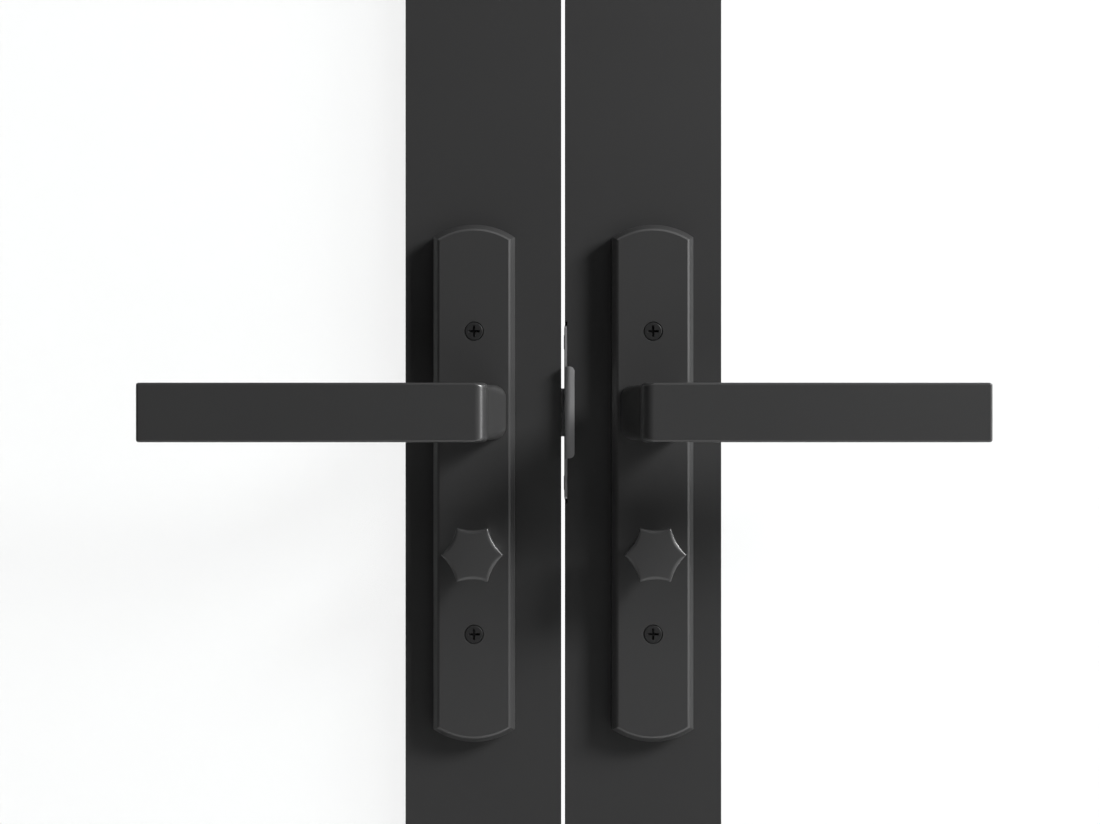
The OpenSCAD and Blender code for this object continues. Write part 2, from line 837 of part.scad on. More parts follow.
// The strike's section: a flat plate whose front edge curls outwards over the leaf's face.
module strike_lip_section() {
    x = edge - strike_proud;
    bend = strike_t + 1.4;
    out = -face - strike_lip_out;
    square_front = out + bend;
    translate([x, square_front]) square([strike_t, -square_front - face + 1]);
    translate([x + bend, square_front]) difference() {
        circle(bend);
        circle(bend - strike_t);
        translate([0, -2 * bend]) square([2 * bend, 4 * bend]);
        translate([-2 * bend, 0]) square([4 * bend, 2 * bend]);
    }
    translate([x + bend, out]) square([strike_lip_w - bend, strike_t]);
}

module right_strike() {
    x = edge - strike_proud;
    color(grey) difference() {
        union() {
            block([x, x + strike_t], [-face, strike_back], [lever_z - strike_h / 2, lever_z + strike_h / 2]);
            translate([0, 0, lever_z - strike_lip_h / 2]) linear_extrude(strike_lip_h) strike_lip_section();
        }
        block([x - small, x + strike_t + small], [-latch_t / 2 - entry, latch_t / 2 + entry],
              [lever_z - latch_h / 2 - entry, lever_z + latch_h / 2 + entry]);
        for (s = [-1, 1])
            along_x(0, lever_z + s * strike_screws_apart / 2, hinge_screw_r + run,
                    [x - small, x + strike_t + small]);
    }
}

module right_strike_screws() {
    x = edge - strike_proud;
    head_t = 0.25;
    color(black) for (s = [-1, 1]) translate([0, 0, lever_z + s * strike_screws_apart / 2]) {
        along_x(0, 0, strike_head_r, [x - head_t, x]);
        along_x(0, 0, hinge_screw_r, [x - head_t, x + 14]);
    }
}

// ---- hinges ----

// A flap on the jamb (side 1) or on the leaf (side -1), with tongues to its own knuckles.
module flap(side, knuckles) {
    y = [-face - flap_t, -face];
    near = pin_x + side * flap_near;
    far = pin_x + side * (flap_near + flap_w);
    color(black) difference() {
        union() {
            block([min(near, far), max(near, far)], y, [-hinge_h / 2, hinge_h / 2]);
            for (k = knuckles) {
                block([min(near, pin_x), max(near, pin_x)], y, k);
                along_z(pin_x, pin_y, knuckle_r, k);
            }
        }
        along_z(pin_x, pin_y, pin_r + run, [-hinge_h, hinge_h]);
        for (dz = screw_zs, i = [0, 1])
            if ((i == 0) == (abs(dz) > hinge_h / 4)) {
                along_y(pin_x + side * screw_xs[i], dz, hinge_screw_r + run, [y[0] - small, y[1] + small]);
                translate([pin_x + side * screw_xs[i], y[0], dz])
                    countersink(hinge_head_r + 0.1, hinge_screw_r);
            }
    }
}

module frame_flaps() {
    end = leaf_knuckle_h / 2 + play;
    for (z = hinge_zs) translate([0, 0, z]) flap(1, [[-hinge_h / 2, -end], [end, hinge_h / 2]]);
}

module leaf_flaps() {
    for (z = hinge_zs) translate([0, 0, z]) flap(-1, [[-leaf_knuckle_h / 2, leaf_knuckle_h / 2]]);
}

// Each pin has a domed cap above and below its knuckles.
module hinge_pins() {
    cap_t = 4;
    color(black) for (z = hinge_zs) translate([pin_x, pin_y, z]) {
        along_z(0, 0, pin_r, [-hinge_h / 2 - 1, hinge_h / 2 + 1]);
        for (s = [0, 1]) mirror([0, 0, s]) translate([0, 0, hinge_h / 2]) rotate_extrude()
            polygon([[0, 0], [knuckle_r, 0], [knuckle_r, cap_t / 2], [knuckle_r - 2, cap_t], [0, cap_t]]);
    }
}

// The screws through the flaps on the jamb (side 1) or on the leaf (side -1).
module hinge_screws(side) {
    color(black) for (z = hinge_zs, dz = screw_zs, i = [0, 1])
        if ((i == 0) == (abs(dz) > hinge_h / 4))
            translate([pin_x + side * screw_xs[i], -face - flap_t, z + dz])
                screw(hinge_head_r, hinge_screw_r, 12);
}

// ---- nodes ----

left() jamb();  // left_jamb
jamb();  // right_jamb
head();
threshold();
stop_seal();
keep(head_in - keep_t);  // head_keep
keep(threshold_h);  // threshold_keep
left() frame_flaps();  // left_frame_flaps
frame_flaps();  // right_frame_flaps
left() hinge_pins();  // left_hinge_pins
hinge_pins();  // right_hinge_pins
union() { hinge_screws(1); left() hinge_screws(1); }  // frame_hinge_screws
left_lock_stile();
left() hinge_stile();  // left_hinge_stile
left() top_rail();  // left_top_rail
left() bottom_rail();  // left_bottom_rail
left() panes();  // left_panes
left() spacer();  // left_spacer
left() gaskets();  // left_gaskets
left() beads();  // left_beads
left() leaf_flaps();  // left_leaf_flaps
left() hinge_screws(-1);  // left_hinge_screws
left() front_plate();  // left_front_plate
left() back_plate();  // left_back_plate
left() plate_screws();  // left_plate_screws
left_lock_case();
left_faceplate();
left() front_lever();  // left_front_lever
left() back_lever();  // left_back_lever
left() lever_spindle();  // left_lever_spindle
left() star_turn();  // left_star_turn
left() turn_spindle();  // left_turn_spindle
left_latch_bolt();
left_latch_spring();
left_dead_bolt();
right_lock_stile();
hinge_stile();  // right_hinge_stile
top_rail();  // right_top_rail
bottom_rail();  // right_bottom_rail
panes();  // right_panes
spacer();  // right_spacer
gaskets();  // right_gaskets
beads();  // right_beads
leaf_flaps();  // right_leaf_flaps
hinge_screws(-1);  // right_hinge_screws
front_plate();  // right_front_plate
back_plate();  // right_back_plate
plate_screws();  // right_plate_screws
right_gearbox();
right_rod_guides();
front_lever();  // right_front_lever
back_lever();  // right_back_lever
lever_spindle();  // right_lever_spindle
star_turn();  // right_star_turn
turn_spindle();  // right_turn_spindle
right_top_bolt();
right_bottom_bolt();
right_strike();
right_strike_screws();
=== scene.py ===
"""A pair of narrow-stile glazed doors: finishes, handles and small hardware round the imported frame."""

import json
import math

import bmesh
import bpy
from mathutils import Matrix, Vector


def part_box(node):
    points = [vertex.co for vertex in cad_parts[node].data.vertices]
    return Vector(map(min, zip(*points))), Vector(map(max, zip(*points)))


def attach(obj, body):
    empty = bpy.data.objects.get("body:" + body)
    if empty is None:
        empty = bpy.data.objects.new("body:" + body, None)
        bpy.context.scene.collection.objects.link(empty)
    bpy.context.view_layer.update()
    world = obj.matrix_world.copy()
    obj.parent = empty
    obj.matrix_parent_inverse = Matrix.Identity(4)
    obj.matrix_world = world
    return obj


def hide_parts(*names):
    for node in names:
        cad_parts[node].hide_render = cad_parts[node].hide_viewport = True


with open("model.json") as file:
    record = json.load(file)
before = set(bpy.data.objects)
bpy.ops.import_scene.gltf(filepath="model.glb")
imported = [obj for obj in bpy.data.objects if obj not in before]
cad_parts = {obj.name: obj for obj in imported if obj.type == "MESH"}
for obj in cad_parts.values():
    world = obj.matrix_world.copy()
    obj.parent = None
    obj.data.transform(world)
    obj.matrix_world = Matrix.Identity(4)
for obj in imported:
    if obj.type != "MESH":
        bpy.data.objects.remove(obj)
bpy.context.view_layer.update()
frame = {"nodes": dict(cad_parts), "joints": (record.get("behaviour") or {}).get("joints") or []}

MM = 0.001

# ---------------------------------------------------------------- places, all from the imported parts


def span(node):
    """A node's lowest and highest corner as two plain tuples."""
    low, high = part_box(node)
    return tuple(low), tuple(high)


def joint(name):
    """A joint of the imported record."""
    return next(j for j in frame["joints"] if j["name"] == name)


SIDES = {"left": -1, "right": 1}
FACES = {"front": -1, "back": 1}

stile_low, _ = span("right_lock_stile")
plate_low, plate_high = span("right_front_plate")
lever_low, lever_high = span("right_front_lever")
star_low, _ = span("right_star_turn")
strike_low, strike_high = span("right_strike")
screw_low, screw_high = span("right_plate_screws")

LEAF_FACE = -stile_low[1]  # the leaf's two faces are at -LEAF_FACE and +LEAF_FACE
AXIS_X, _, LEVER_Z = joint("right_lever_turn")["pos_m"]
TURN_Z = joint("right_thumb_turn")["pos_m"][2]

# ---------------------------------------------------------------- camera

VIEW_DISTANCE = 1.0  # from the room side of the leaves
VIEW_LEFT = -6.43 * MM
VIEW_UP = 0.2 * MM  # over the levers' axis


def add_camera():
    """The viewing place: square on to the doors at lever height, a metre in front of the leaves."""
    data = bpy.data.cameras.new("view")
    data.sensor_width = 36.0
    data.lens = 67.97
    data.clip_start = 0.05
    data.clip_end = 60.0
    camera = bpy.data.objects.new("view", data)
    bpy.context.collection.objects.link(camera)
    camera.location = (VIEW_LEFT, -LEAF_FACE - VIEW_DISTANCE, LEVER_Z + VIEW_UP)
    camera.rotation_euler = (math.radians(90), 0, 0)
    bpy.context.scene.camera = camera


add_camera()

# ---------------------------------------------------------------- shader expressions


class Field:
    """A socket of a finish. Arithmetic on it adds the Math nodes that work it out."""

    def __init__(self, finish, socket):
        self.finish = finish
        self.socket = socket

    def maths(self, operation, first, second):
        """One Math node on two numbers or fields."""
        node = self.finish.node("ShaderNodeMath", {"operation": operation}, [first, second])
        return Field(self.finish, node.outputs[0])

    def __add__(self, other):
        return self.maths("ADD", self, other)

    def __radd__(self, other):
        return self.maths("ADD", other, self)

    def __sub__(self, other):
        return self.maths("SUBTRACT", self, other)

    def __rsub__(self, other):
        return self.maths("SUBTRACT", other, self)

    def __mul__(self, other):
        return self.maths("MULTIPLY", self, other)

    def __rmul__(self, other):
        return self.maths("MULTIPLY", other, self)


class Finish:
    """A material in the making, with its Principled shader."""

    def __init__(self, name):
        self.material = bpy.data.materials.new(name)
        self.material.use_nodes = True
        self.tree = self.material.node_tree
        self.shader = next(n for n in self.tree.nodes if n.type == "BSDF_PRINCIPLED")
        self.place = self.node("ShaderNodeTexCoord").outputs["Object"]

    def node(self, kind, settings=None, inputs=None):
        """Adds a node: its settings, then the values or links of its sockets, by name or in order."""
        node = self.tree.nodes.new(kind)
        for key, value in (settings or {}).items():
            setattr(node, key, value)
        pairs = inputs.items() if isinstance(inputs, dict) else enumerate(inputs or [])
        for key, value in pairs:
            self.feed(node.inputs[key], value)
        return node

    def feed(self, socket, value):
        """Links a field or a socket, or sets a plain value."""
        if isinstance(value, Field):
            value = value.socket
        if isinstance(value, bpy.types.NodeSocket):
            self.tree.links.new(value, socket)
        else:
            socket.default_value = value

    def stretched(self, scale):
        """Object coordinates stretched by a scale on each axis."""
        return self.node("ShaderNodeMapping", None, {"Vector": self.place, "Scale": scale}).outputs[0]

    def noise(self, scale, detail=3.0, roughness=0.55, place=None):
        """A noise field from 0 to 1; scale is in features per metre."""
        node = self.node(
            "ShaderNodeTexNoise",
            {"noise_dimensions": "3D"},
            {"Vector": place or self.place, "Scale": scale, "Detail": detail, "Roughness": roughness},
        )
        return Field(self, node.outputs["Fac"])

    def cells(self, scale):
        """Distance to the nearest point of a scatter, for the spangle of zinc."""
        node = self.node("ShaderNodeTexVoronoi", None, {"Vector": self.place, "Scale": scale})
        return Field(self, node.outputs["Distance"])

    def blend(self, share, low, high):
        """A colour between two colours."""
        ends = {0: share, 6: (*low, 1.0), 7: (*high, 1.0)}
        return self.node("ShaderNodeMix", {"data_type": "RGBA"}, ends).outputs[2]

    def bump(self, height, depth):
        """A normal from a height field; depth is in metres."""
        return self.node("ShaderNodeBump", None, {"Distance": depth, "Height": height}).outputs["Normal"]

    def set(self, **values):
        """Sets or links the shader's own sockets, with _ for a space in their names."""
        for key, value in values.items():
            self.feed(self.shader.inputs[key.replace("_", " ")], value)


# ---------------------------------------------------------------- finishes


def shaded(tone, low, high):
    """A tone's darker and lighter variants, as shares of it."""
    return tuple(c * low for c in tone), tuple(c * high for c in tone)


def powder_coat(name, tone, rough=0.47, grain=1.0, sheen=0.42):
    """Fine satin powder coat: even colour, a close orange-peel texture and barely uneven gloss."""
    f = Finish(name)
    cloud = f.noise(9.0, 2.0, 0.5)
    peel = f.noise(620.0, 1.0, 0.45)
    fleck = f.noise(2600.0, 1.0, 0.6)
    f.set(
        Base_Color=f.blend(cloud * 0.7 + fleck * 0.3, *shaded(tone, 0.94, 1.06)),
        Roughness=rough + (cloud - 0.5) * 0.05 + (fleck - 0.5) * 0.06,
        Normal=f.bump(peel * 0.65 + fleck * 0.35, 0.010 * MM * grain),
        Specular_IOR_Level=sheen,
    )
    return f.material


def satin_steel(name, tone, across, rough=0.34, metallic=1.0):
    """Brushed steel: fine streaks that run along the axis whose number in `across` is small."""
    f = Finish(name)
    streak = f.noise(1.0, 4.0, 0.6, f.stretched(across))
    smear = f.noise(60.0, 3.0, 0.5)
    f.set(
        Base_Color=f.blend(streak, *shaded(tone, 0.85, 1.12)),
        Roughness=rough + (streak - 0.5) * 0.16 + (smear - 0.5) * 0.08,
        Metallic=metallic,
        Normal=f.bump(streak, 0.006 * MM),
    )
    return f.material


def zinc_plate(name):
    """Bright zinc with the faint spangle and uneven gloss of plated pressings."""
    f = Finish(name)
    spangle = f.cells(180.0)
    film = f.noise(35.0, 4.0, 0.55)
    f.set(
        Base_Color=f.blend(spangle * 0.6 + film * 0.4, (0.42, 0.43, 0.45), (0.62, 0.62, 0.60)),
        Roughness=0.32 + (film - 0.5) * 0.2,
        Metallic=1.0,
        Normal=f.bump(film * 0.4 + spangle * 0.6, 0.01 * MM),
    )
    return f.material


def anodised(name, tone, along):
    """Anodised extrusion: die lines along its length and a soft even sheen."""
    f = Finish(name)
    lines = f.noise(1.0, 3.0, 0.6, f.stretched(along))
    cloud = f.noise(14.0, 3.0, 0.5)
    f.set(
        Base_Color=f.blend(lines * 0.6 + cloud * 0.4, *shaded(tone, 0.88, 1.12)),
        Roughness=0.4 + (lines - 0.5) * 0.12,
        Metallic=0.85,
        Normal=f.bump(lines, 0.008 * MM),
    )
    return f.material


def rubber(name, tone):
    """Matt rubber with a fine moulded grain and a dusty bloom."""
    f = Finish(name)
    grain = f.noise(1500.0, 3.0, 0.6)
    bloom = f.noise(30.0, 4.0, 0.55)
    f.set(
        Base_Color=f.blend(bloom, *shaded(tone, 1.0, 1.7)),
        Roughness=0.72 + (grain - 0.5) * 0.12,
        Normal=f.bump(grain, 0.03 * MM),
        Specular_IOR_Level=0.35,
    )
    return f.material


def nylon(name):
    """Black moulded nylon with a faint grain."""
    f = Finish(name)
    grain = f.noise(900.0, 2.0, 0.5)
    f.set(
        Base_Color=f.blend(grain, (0.022, 0.022, 0.023), (0.034, 0.034, 0.035)),
        Roughness=0.55 + (grain - 0.5) * 0.1,
        Normal=f.bump(grain, 0.02 * MM),
    )
    return f.material


def clear_glass(name):
    """Clear float glass: a faint green body colour and a haze that shows only across a light."""
    f = Finish(name)
    haze = f.noise(5.0, 3.0, 0.5)
    f.set(
        Base_Color=f.blend(haze, (0.86, 0.93, 0.91), (0.92, 0.96, 0.95)),
        Roughness=0.015 + haze * 0.02,
        Alpha=0.05 + haze * 0.02,
        IOR=1.52,
    )
    return f.material


def pale_floor(name):
    """Pale seamless studio floor."""
    f = Finish(name)
    cloud = f.noise(1.5, 4.0, 0.5)
    f.set(
        Base_Color=f.blend(cloud, (0.80, 0.80, 0.80), (0.84, 0.84, 0.84)),
        Roughness=0.8 + (cloud - 0.5) * 0.1,
    )
    return f.material


profile_coat = powder_coat("profile_coat", (0.036, 0.036, 0.0363))
handle_coat = powder_coat("handle_coat", (0.045, 0.045, 0.0453), rough=0.32, grain=0.6, sheen=0.9)
hinge_coat = powder_coat("hinge_coat", (0.029, 0.029, 0.0293), rough=0.5, grain=1.2)
screw_black = powder_coat("screw_black", (0.022, 0.022, 0.0222), rough=0.4, grain=0.5)
# The bolts' steel is given a near-white, barely metallic tone: painted light, so the latch bolt deep in
# the shaded gap between the leaves looks lit.
bolt_steel = satin_steel("bolt_steel", (0.8, 0.8, 0.81), (90.0, 1500.0, 90.0), 0.4, 0.15)
strike_steel = satin_steel("strike_steel", (0.36, 0.36, 0.364), (1500.0, 1500.0, 60.0), 0.36, 0.35)
spindle_steel = satin_steel("spindle_steel", (0.5, 0.5, 0.51), (1200.0, 60.0, 1200.0))
rod_steel = satin_steel("rod_steel", (0.48, 0.48, 0.49), (900.0, 900.0, 25.0))
zinc = zinc_plate("zinc")
threshold_metal = anodised("threshold_metal", (0.16, 0.16, 0.163), (3.0, 900.0, 900.0))
spacer_metal = anodised("spacer_metal", (0.5, 0.5, 0.51), (300.0, 300.0, 300.0))
seal_rubber = rubber("seal_rubber", (0.018, 0.018, 0.019))
guide_nylon = nylon("guide_nylon")
glass = clear_glass("glass")

# ---------------------------------------------------------------- making pieces


def add_piece(name, mesh, finish):
    """Links a mesh as an object at the origin with one finish."""
    mesh.materials.clear()
    mesh.materials.append(finish)
    piece = bpy.data.objects.new(name, mesh)
    bpy.context.collection.objects.link(piece)
    return piece


def from_bmesh(name, work, finish, sharp=35.0):
    """Turns a closed bmesh into a piece, its faces outwards and its edges over `sharp` degrees crisp."""
    bmesh.ops.recalc_face_normals(work, faces=work.faces)
    mesh = bpy.data.meshes.new(name)
    work.to_mesh(mesh)
    work.free()
    mesh.shade_smooth()
    mesh.set_sharp_from_angle(angle=math.radians(sharp))
    return add_piece(name, mesh, finish)


def applied(piece):
    """Replaces a piece's mesh by what its modifiers make, and removes them."""
    shown = piece.evaluated_get(bpy.context.evaluated_depsgraph_get())
    mesh = bpy.data.meshes.new_from_object(shown)
    piece.modifiers.clear()
    piece.data = mesh
    return piece


def crisp(piece, sharp=35.0):
    """Shades a piece smooth, its flats kept flat and its edges over `sharp` degrees kept crisp."""
    piece.data.shade_smooth()
    piece.data.set_sharp_from_angle(angle=math.radians(sharp))
    step = piece.modifiers.new("flats", "WEIGHTED_NORMAL")
    step.keep_sharp = True
    step.weight = 90
    return applied(piece)


def loft(work, rings):
    """Skins a list of equal rings of points, first and last capped."""
    made = [[work.verts.new(p) for p in ring] for ring in rings]
    count = len(made[0])
    for low, high in zip(made, made[1:]):
        for i in range(count):
            work.faces.new((low[i], low[(i + 1) % count], high[(i + 1) % count], high[i]))
    work.faces.new(list(reversed(made[0])))
    work.faces.new(made[-1])


def cut(piece, tool, operation="DIFFERENCE"):
    """Cuts a piece with another, or joins the two, and removes the other."""
    step = piece.modifiers.new("cut", "BOOLEAN")
    step.operation = operation
    step.object = tool
    step.solver = "EXACT"
    applied(piece)
    bpy.data.objects.remove(tool)
    return piece


def round_edges(piece, width, segments, sharp):
    """Rounds off the edges of a piece that are sharper than `sharp` degrees."""
    step = piece.modifiers.new("round", "BEVEL")
    step.width = width
    step.segments = segments
    step.limit_method = "ANGLE"
    step.angle_limit = math.radians(sharp)
    return applied(piece)


def merged_copy(node):
    """A CAD node's mesh in one skin per solid, with its doubled corners merged."""
    work = bmesh.new()
    work.from_mesh(frame["nodes"][node].data)
    bmesh.ops.remove_doubles(work, verts=work.verts, dist=0.002 * MM)
    return work


def softened(node, finish, width, segments=2):
    """A copy of a CAD node with its sharp edges rounded off; it stands for the node."""
    work = merged_copy(node)
    bmesh.ops.dissolve_limit(work, angle_limit=math.radians(0.5), verts=work.verts, edges=work.edges)
    piece = from_bmesh(node + "_piece", work, finish)
    round_edges(piece, width, segments, 30.0)
    crisp(piece, 50.0)
    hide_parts(node)
    return piece


def placer(side, face, height):
    """Maps (x outwards from the handle's axis, distance off the leaf's face, z) to the shared frame."""

    def place(x, out, z):
        return Vector((SIDES[side] * (AXIS_X + x), FACES[face] * (LEAF_FACE + out), height + z))

    return place


# ---------------------------------------------------------------- backplates

PLATE_T = -LEAF_FACE - plate_low[1]
PLATE_HALF_W = (plate_high[0] - plate_low[0]) / 2
PLATE_UP = plate_high[2] - LEVER_Z
PLATE_DOWN = LEVER_Z - plate_low[2]
PLATE_END_R = 34.5 * MM
PLATE_BEVEL = 3.0 * MM
BEVEL_EDGE_R = 0.9 * MM  # the rounding of the bevel's foot
FACET_W = 0.95 * MM
FACET_SLOPE = math.radians(22.5)
LEVER_BORE_R = 9.08 * MM
TURN_BORE_R = 7.08 * MM
COUNTERSINK_R = 4.6 * MM
SCREW_BORE_R = 2.6 * MM
SCREW_HEAD_R = 4.25 * MM
SCREW_SINK = 0.05 * MM
SCREW_INSET = 4.4 * MM  # from a screw's middle to the end of the pair
SCREW_ZS = (screw_high[2] - SCREW_INSET, screw_low[2] + SCREW_INSET)
PAST = 1 * MM  # how far a cutter runs past what it cuts
ARCH_STEPS = 28
SIDE_STEPS = 4


def plate_outline(inset):
    """The plate's outline drawn in by `inset`: two arches and two sides, always as many points."""
    radius = PLATE_END_R - inset
    half = PLATE_HALF_W - inset
    reach = math.asin(half / radius)
    top, bottom = PLATE_UP - PLATE_END_R, PLATE_END_R - PLATE_DOWN
    points = []
    for centre, other, turn in ((top, bottom, 1), (bottom, top, -1)):
        for i in range(ARCH_STEPS + 1):
            a = turn * (reach - 2 * reach * i / ARCH_STEPS)
            points.append((radius * math.sin(a), centre + turn * radius * math.cos(a)))
        x, start = points[-1]
        end = other - turn * radius * math.cos(reach)
        for i in range(1, SIDE_STEPS):
            points.append((x, start + (end - start) * i / SIDE_STEPS))
    return points


def plate_profile():
    """Inset and height of each ring, from the back of the plate to its front face.

    The bevel has a rounded foot and, along its inner edge, a narrow facet at half its slope.
    """
    foot = (0.0, PLATE_T - PLATE_BEVEL)
    turn = BEVEL_EDGE_R * math.tan(FACET_SLOPE)
    lower = (0.0, foot[1] - turn)
    upper = (turn * 0.707, foot[1] + turn * 0.707)
    drop = FACET_W * math.tan(FACET_SLOPE)
    rings = [(0.0, 0.0), (0.0, 1.5 * MM)]
    rings += [curve_between(lower, foot, upper, i / 4) for i in range(5)]
    rings += [(PLATE_BEVEL - FACET_W, PLATE_T - drop), (PLATE_BEVEL, PLATE_T)]
    return rings


def curve_between(a, corner, b, t):
    """A point on the smooth curve from a to b that a corner pulls on."""
    u = 1 - t
    return tuple(u * u * a[k] + 2 * u * t * corner[k] + t * t * b[k] for k in (0, 1))


def add_plate(side, face):
    """A long narrow backplate with arched ends and a bevelled edge."""
    place = placer(side, face, LEVER_Z)
    work = bmesh.new()
    loft(work, [[place(x, out, z) for x, z in plate_outline(inset)] for inset, out in plate_profile()])
    piece = from_bmesh(f"{side}_{face}_backplate", work, handle_coat, sharp=28.0)
    for z, radius in ((0.0, LEVER_BORE_R), (TURN_Z - LEVER_Z, TURN_BORE_R)):
        cut(piece, ring_solid([circle_ring(place, z, radius, out) for out in (-PAST, PLATE_T + PAST)]))
    if face == "front":
        steps = [
            (COUNTERSINK_R + 0.6 * MM, PLATE_T + 0.6 * MM),
            (COUNTERSINK_R + 0.12 * MM, PLATE_T + 0.02 * MM),
            (COUNTERSINK_R, PLATE_T - 0.15 * MM),
            (COUNTERSINK_R, PLATE_T - 0.5 * MM),
            (SCREW_BORE_R, PLATE_T - 2.6 * MM),
            (SCREW_BORE_R, -PAST),
        ]
        for world_z in SCREW_ZS:
            cut(piece, ring_solid([circle_ring(place, world_z - LEVER_Z, r, out) for r, out in steps]))
    crisp(piece, 18.0)
    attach(piece, f"{side}_leaf")
    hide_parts(f"{side}_{face}_plate")


def turns(count):
    """Equal steps once round, in radians."""
    return [2 * math.pi * i / count for i in range(count)]


def circle_ring(place, z, radius, out):
    """A ring of points round an axis square to the leaf, over or under the handle's own axis."""
    return [place(radius * math.cos(a), out, z + radius * math.sin(a)) for a in turns(64)]


def ring_solid(rings, finish=handle_coat):
    """A closed solid from a stack of rings: a cutter, or a simple body for another step."""
    work = bmesh.new()
    loft(work, rings)
    return from_bmesh("solid", work, finish)


# ---------------------------------------------------------------- levers

GRIP_IN = 8.0 * MM  # from the axis to the grip's inner end
GRIP_OUT = lever_high[0] - AXIS_X
GRIP_H = lever_high[2] - lever_low[2]
GRIP_REACH = -LEAF_FACE - lever_low[1]
GRIP_T = 12.0 * MM
INNER_FRONT_R = 6.0 * MM  # the broad rounding of the grip's inner front edge
INNER_BACK_R = 0.1 * MM  # where the neck runs into the grip
OUTER_R = 1.25 * MM
GRIP_EDGE_R = 1.1 * MM
INNER_EDGE_MORE_R = 1.3 * MM  # added to the edges' rounding towards the inner end
INNER_EDGE_RUN = 7.0 * MM
NECK_W = 30.6 * MM
NECK_H = 26.0 * MM
NECK_END_IN = 8.1 * MM
NECK_END_OUT = 3.0 * MM
NECK_CORNER_R = 6.0 * MM
NECK_END_CORNER_R = 2.8 * MM
NECK_THINNING = 0.3 * MM  # off each side of the neck's height at the grip
NECK_INTO_GRIP = 1.5 * MM
NECK_STEPS = 12
PLATE_PLAY = 0.3 * MM  # between a backplate and what turns over it


def arc(cx, cy, radius, start, end, steps):
    """Points round an arc, angles in degrees."""
    span_deg = end - start
    angles = [math.radians(start + span_deg * i / steps) for i in range(steps + 1)]
    return [(cx + radius * math.cos(a), cy + radius * math.sin(a)) for a in angles]


def grip_plan():
    """The grip seen from above, as (x, distance out), its inner front edge broadly rounded."""
    back, front = GRIP_REACH - GRIP_T, GRIP_REACH
    r, e, b = INNER_FRONT_R, OUTER_R, INNER_BACK_R
    points = arc(r - GRIP_IN, front - r, r, 180, 90, 10)
    points += arc(GRIP_OUT - e, front - e, e, 90, 0, 4)
    points += arc(GRIP_OUT - e, back + e, e, 0, -90, 4)
    points += arc(b - GRIP_IN, back + b, b, 270, 180, 4)
    return points


def shrink(point, plan, inset):
    """Draws a point of the grip's plan in towards its inside by `inset`, square to each side."""
    xs = [p[0] for p in plan]
    ys = [p[1] for p in plan]
    cx, cy = (min(xs) + max(xs)) / 2, (min(ys) + max(ys)) / 2
    hx, hy = max(xs) - cx, max(ys) - cy
    return (
        cx + (point[0] - cx) * (hx - inset) / hx,
        cy + (point[1] - cy) * (hy - inset) / hy,
    )


def eased(t):
    """A smooth step from 0 to 1."""
    return t * t * (3 - 2 * t)


def rounded_rect(x0, x1, half_h, r, steps=6):
    """A level-sided ring of (x, z) points with round corners of radius r."""
    ring = arc(x1 - r, half_h - r, r, 0, 90, steps)
    ring += arc(x0 + r, half_h - r, r, 90, 180, steps)
    ring += arc(x0 + r, r - half_h, r, 180, 270, steps)
    ring += arc(x1 - r, r - half_h, r, 270, 360, steps)
    return ring


def grip_rings(place):
    """Rings up the grip, from its rounded lower edge to its rounded upper edge."""
    plan = grip_plan()
    steps = 5
    rings = []
    for top in (-1, 1):
        for i in range(steps + 1):
            a = math.radians(90 * (i if top < 0 else steps - i) / steps)
            ring = []
            for point in plan:
                near = max(0.0, 1 - (point[0] + GRIP_IN) / INNER_EDGE_RUN)
                e = GRIP_EDGE_R + INNER_EDGE_MORE_R * eased(near)
                spot = shrink(point, plan, e * (1 - math.sin(a)))
                ring.append(place(*spot, top * (GRIP_H / 2 - e + e * math.cos(a))))
            rings.append(ring)
    return rings


def neck_rings(place):
    """Rings out along the neck, which tapers from the plate to the grip."""
    base = PLATE_T + PLATE_PLAY
    top = GRIP_REACH - GRIP_T + NECK_INTO_GRIP
    rings = []
    for i in range(NECK_STEPS + 1):
        t = i / NECK_STEPS
        ease = 0.6 * t + 0.4 * eased(t)
        inner = -NECK_W / 2 + (NECK_W / 2 - NECK_END_IN) * ease
        outer = NECK_W / 2 + NECK_END_OUT * ease
        corner = NECK_CORNER_R + (NECK_END_CORNER_R - NECK_CORNER_R) * ease
        ring = rounded_rect(inner, outer, NECK_H / 2 - NECK_THINNING * ease, corner)
        rings.append([place(x, base + (top - base) * t, z) for x, z in ring])
    return rings


def add_lever(side, face):
    """A flat-faced lever: a rounded bar carried on a tapering neck, as one casting."""
    place = placer(side, face, LEVER_Z)
    work = bmesh.new()
    loft(work, grip_rings(place))
    grip = from_bmesh(f"{side}_{face}_lever_handle", work, handle_coat, sharp=28.0)
    cut(grip, ring_solid(neck_rings(place)), "UNION")
    crisp(grip, 28.0)
    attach(grip, f"{side}_lever")
    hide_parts(f"{side}_{face}_lever")


# ---------------------------------------------------------------- star thumb-turns

STAR_R = 14.5 * MM
STAR_VALLEY_R = 11.5 * MM
STAR_HOLLOW_R = 23.5 * MM
STAR_POINTS = 6
STAR_REACH = -LEAF_FACE - star_low[1]
STAR_SOFT = 0.25 * MM  # how far a point's tip is worn back
STAR_RIM = 0.8 * MM
STAR_DOME = 0.6 * MM
STAR_FLANK = 3.2 * MM  # from the face back to where the outline is fully a star
STAR_STEPS = 216
STEM_R = 8.0 * MM
STEM_L = 4.0 * MM


def star_radius(angle):
    """Radius of the star's outline: shallow hollows that meet in slightly softened points."""
    sector = 2 * math.pi / STAR_POINTS
    a = (angle % sector) - sector / 2
    centre = STAR_VALLEY_R + STAR_HOLLOW_R
    hollow = centre * math.cos(a) - math.sqrt(STAR_HOLLOW_R**2 - (centre * math.sin(a)) ** 2)
    return -STAR_SOFT * math.log(math.exp(-hollow / STAR_SOFT) + math.exp(-STAR_R / STAR_SOFT))


